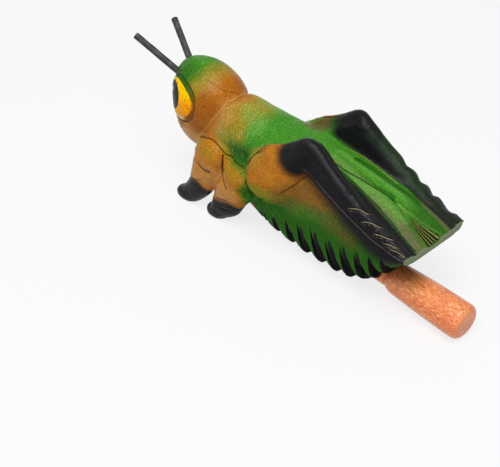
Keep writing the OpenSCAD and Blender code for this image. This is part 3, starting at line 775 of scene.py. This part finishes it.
# The eye's lid is green above and brown below. The iris is yellow, warmer in clouds, with a few brown dots.
lid = add(lacquer, "ShaderNodeMix", {6: linear("#84501A"), 7: linear("#1E4A0C")}, {0: painted["rim_high"]},
          data_type="RGBA").outputs[2]
iris = add(lacquer, "ShaderNodeMix", {6: linear("#FFBE00"), 7: linear("#EE8600")}, {0: cover["clouds"]},
           data_type="RGBA").outputs[2]
iris_top = add(lacquer, "ShaderNodeMath", {1: 0.7}, {0: painted["rim_high"]}, operation="MULTIPLY").outputs[0]
for paint, patch in (("#FFD400", iris_top), ("#6E2404", cover["iris_dots"])):
    iris = add(lacquer, "ShaderNodeMix", {7: linear(paint)}, {0: patch, 6: iris}, data_type="RGBA").outputs[2]

# Over the coats: wear, painted highlights on the shin ridges and edges, the cut edges and the collar, the
# sawn tail end, the lines, the fan, the bore and the saw cuts, and then the eye with a painted highlight
# under it.
for paint, patch, strength in [
    ("#C8742A", cover["chipped"], 0.7),
    ("#8C7C62", cover["flecked"], 0.6),
    # Painted highlight and worn paint along the shin ridges, in grey.
    ("#5C6366", painted["ridge_highlight_and_wear"], 0.5),
    ("#7C8A6A", painted["tail_end"], 1),
    ("#381605", cover["lined"], 0.85),
    ("#173A08", cover["folded"], 0.85),
    ("#1C1A0C", painted["fan"], 1),
    ("#8C9C40", cover["ribs"], 1),
    # Painted highlight along the cut edges of the wings and the fan, and chipped paint on the second lobe, in
    # yellow green.
    ("#98A344", cover["cut_edge_highlight_and_chips"], 0.5),
    # Painted highlight along the front edge of the pronotum, in pale tan.
    ("#C4AC66", cover["collar_highlight"], 0.75),
    # Painted highlight and rubbed paint along the shin edges, in grey.
    ("#7A8084", cover["edge_highlight_and_scuff"], 1),
    ("#C4AE86", cover["bare"], 0.75),
    ("#B98F5C", painted["drilled"], 1),
    ("#0E0D0C", cover["sawn"], 1),
    (lid, cover["lid"], 0.8),
    # Painted highlight under the eye, a pale cream crescent.
    ("#D8CC92", cover["cream_highlight"], 1),
    ("#2E1608", cover["rim_line"], 0.7),
    (iris, cover["iris"], 1),
    ("#17181C", cover["pupil"], 1),
    ("#F4F4F0", cover["glint"], 1),
]:
    amount = add(lacquer, "ShaderNodeMath", {1: strength}, {0: patch}, operation="MULTIPLY").outputs[0]
    values, links = {}, {0: amount, 6: colour}
    if isinstance(paint, str):
        values[7] = linear(paint)
    else:
        links[7] = paint
    colour = add(lacquer, "ShaderNodeMix", values, links, data_type="RGBA").outputs[2]

rough = add(lacquer, "ShaderNodeMath", {1: 0.6}, {0: noise["grit"], 2: noise["scratches"]},
            operation="MULTIPLY_ADD").outputs[0]
relief = add(lacquer, "ShaderNodeBump", {"Strength": 0.2, "Distance": 0.2 * mm},
             {"Height": rough}).outputs["Normal"]
gloss = add(lacquer, "ShaderNodeMapRange", {"To Min": 0.22, "To Max": 0.38},
            {"Value": noise["speckle"]}).outputs[0]
gloss = add(lacquer, "ShaderNodeMath", {1: 0.45}, {0: painted["dull"], 2: gloss},
            operation="MULTIPLY_ADD").outputs[0]
finish = lacquer.node_tree.nodes["Principled BSDF"]
finish.inputs["Specular IOR Level"].default_value = 0.06
for socket, source in {"Base Color": colour, "Roughness": gloss, "Normal": relief}.items():
    lacquer.node_tree.links.new(source, finish.inputs[socket])
carving.data.materials.clear()
carving.data.materials.append(lacquer)
only(carving)
bpy.ops.object.shade_smooth_by_angle(angle=math.radians(55))
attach(carving, "guiro")
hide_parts("carved_body")

# The antennae: thin rods whittled from split bamboo, not quite round, pushed into the crown with glue and
# brushed with matt black paint.


def turned(name, profile, base, direction, steps):
    """A round piece from its profile of radius and height in mm, set on base and pointing along direction."""
    mesh = bpy.data.meshes.new(name)
    mesh.from_pydata([(r * mm, 0, h * mm) for r, h in profile],
                     [(i, i + 1) for i in range(len(profile) - 1)], [])
    obj = bpy.data.objects.new(name, mesh)
    scene.collection.objects.link(obj)
    apply(obj, "SCREW", steps=steps, render_steps=steps, use_merge_vertices=True, merge_threshold=0.01 * mm,
          use_normal_calculate=True)
    turn = Vector(direction).to_track_quat("Z", "Y").to_matrix().to_4x4()
    mesh.transform(Matrix.Translation(Vector(base) * mm) @ turn)
    only(obj)
    bpy.ops.object.mode_set(mode="EDIT")
    bpy.ops.mesh.select_all(action="SELECT")
    bpy.ops.mesh.normals_make_consistent(inside=False)
    bpy.ops.object.mode_set(mode="OBJECT")
    bpy.ops.object.shade_smooth()
    return obj


rod_radius, rod_length = 1.6, 30
whittled = bpy.data.textures.new("whittled_rod", "CLOUDS")
whittled.noise_scale = 5 * mm
charcoal = bpy.data.materials.new("matt_black_paint_on_bamboo")
charcoal.use_nodes = True
rod_where = add(charcoal, "ShaderNodeTexCoord").outputs["Object"]
# Brush drag and thin patches about 3 mm long, where the grey of the wood shows through the paint.
thin = add(charcoal, "ShaderNodeTexNoise", {"Scale": per_metre(3), "Detail": 4},
           {"Vector": rod_where}).outputs["Fac"]
patches = add(charcoal, "ShaderNodeMapRange", {"From Min": 0.45, "From Max": 0.75},
              {"Value": thin}).outputs[0]
paint = add(charcoal, "ShaderNodeMix", {6: linear("#24272A"), 7: linear("#4B5158")}, {0: patches},
            data_type="RGBA")
rod_relief = add(charcoal, "ShaderNodeBump", {"Strength": 0.4, "Distance": 0.1 * mm},
                 {"Height": thin}).outputs["Normal"]
rod_finish = charcoal.node_tree.nodes["Principled BSDF"]
rod_finish.inputs["Roughness"].default_value = 0.55
rod_finish.inputs["Specular IOR Level"].default_value = 0.35
charcoal.node_tree.links.new(paint.outputs[2], rod_finish.inputs["Base Color"])
charcoal.node_tree.links.new(rod_relief, rod_finish.inputs["Normal"])
for side, name in ((-1, "antenna_left"), (1, "antenna_right")):
    way = Vector((rod_way.x, side * rod_way.y, rod_way.z))
    start = Vector((rod_socket.x, side * rod_socket.y, rod_socket.z)) - way * socket_depth
    outline = [(0, 0), (rod_radius - 0.15, 0), (rod_radius, 0.2)]
    outline += [(rod_radius, h) for h in np.arange(1.5, rod_length - 0.6, 1.5)]
    outline += [(rod_radius, rod_length - 0.35), (rod_radius - 0.1, rod_length - 0.12)]
    outline += [(rod_radius - 0.3, rod_length), (0, rod_length)]
    rod = turned(name + "_rod", outline, start, way, 24)
    whittle = rod.vertex_groups.new(name="whittle")
    height = [(v.co / mm - start).dot(way) for v in rod.data.vertices]
    whittle.add([i for i, h in enumerate(height) if socket_depth + 1 < h < rod_length - 0.5], 1, "REPLACE")
    apply(rod, "DISPLACE", texture=whittled, strength=0.22 * mm, mid_level=0.5, vertex_group="whittle",
          texture_coords="LOCAL")
    rod.data.materials.append(charcoal)
    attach(rod, "guiro")
    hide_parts(name)

# The stick: one length of hardwood turned on a lathe to a barrel handle with a rounded end, a groove at the
# shoulder and a shaft that is stored in the bore, stained red and rubbed with wax.
shaft_length, shaft_radius = 58, 5.8
handle_length, handle_radius, handle_taper = 39, 8.1, 0.9
shoulder, groove, end_round = 5.5, 1.6, 3
outline = [(0, -shaft_length), (shaft_radius - 1.4, -shaft_length), (shaft_radius - 0.4, 0.4 - shaft_length),
           (shaft_radius, 1.4 - shaft_length)]
outline += [(shaft_radius, h) for h in np.linspace(2 - shaft_length, -groove - 0.6, 16)]
outline += [(shaft_radius - 1.0 * math.sin(a), -groove * (1 - a / math.pi)) for a in np.linspace(0.1, 3.0, 8)]
for a in np.linspace(0.12, math.pi / 2, 9):
    outline.append((shaft_radius + (handle_radius - handle_taper - shaft_radius) * math.sin(a),
                    shoulder * (1 - math.cos(a))))
for u in np.linspace(0.06, 0.97, 15):
    outline.append((handle_radius - handle_taper * (1 - u) ** 2,
                    shoulder + u * (handle_length - end_round - shoulder)))
for a in np.linspace(0.1, math.pi / 2, 9):
    outline.append((handle_radius - end_round * (1 - math.cos(a)),
                    handle_length - end_round * (1 - math.sin(a))))
outline += [(handle_radius - end_round - 2, handle_length - 0.05), (0, handle_length)]
stick = turned("scraper_stick_turned", outline, mouth, axis, 72)
stain = bpy.data.materials.new("red_stained_waxed_hardwood")
stain.use_nodes = True
stick_where = add(stain, "ShaderNodeTexCoord").outputs["Object"]
straight = add(stain, "ShaderNodeMapping", {"Rotation": (0, math.asin(axis.z), 0)}, {"Vector": stick_where})
# Open pores of the hardwood: dark strokes about 2 mm long and 0.3 mm wide, all along the stick.
long_way = add(stain, "ShaderNodeMapping", {"Scale": (0.2, 1, 1)},
               {"Vector": straight.outputs["Vector"]}).outputs["Vector"]
strokes = add(stain, "ShaderNodeTexNoise", {"Scale": per_metre(0.35), "Detail": 2},
              {"Vector": long_way}).outputs["Fac"]
# Broader bands of darker and paler wood, about 5 mm wide and many times as long.
bands = add(stain, "ShaderNodeTexNoise", {"Scale": per_metre(5), "Detail": 3},
            {"Vector": long_way}).outputs["Fac"]
warm = add(stain, "ShaderNodeMapRange", {"From Min": 0.35, "From Max": 0.65}, {"Value": bands}).outputs[0]
wood = add(stain, "ShaderNodeMix", {6: linear("#F2975C"), 7: linear("#DE7840")}, {0: warm},
           data_type="RGBA").outputs[2]
pore = add(stain, "ShaderNodeMapRange", {"From Min": 0.52, "From Max": 0.72}, {"Value": strokes}).outputs[0]
wood = add(stain, "ShaderNodeMix", {7: linear("#A84420")}, {0: pore, 6: wood}, data_type="RGBA").outputs[2]
pale = add(stain, "ShaderNodeMapRange", {"From Min": 0.44, "From Max": 0.28}, {"Value": strokes}).outputs[0]
wood = add(stain, "ShaderNodeMix", {7: linear("#FAC796")}, {0: pale, 6: wood}, data_type="RGBA").outputs[2]
pore_relief = add(stain, "ShaderNodeBump", {"Strength": 0.3, "Distance": 0.15 * mm},
                  {"Height": strokes}).outputs["Normal"]
wax = stain.node_tree.nodes["Principled BSDF"]
wax.inputs["Roughness"].default_value = 0.32
wax.inputs["Specular IOR Level"].default_value = 0.45
stain.node_tree.links.new(wood, wax.inputs["Base Color"])
stain.node_tree.links.new(pore_relief, wax.inputs["Normal"])
stick.data.materials.append(stain)
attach(stick, "stick")
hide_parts("scraper_stick")
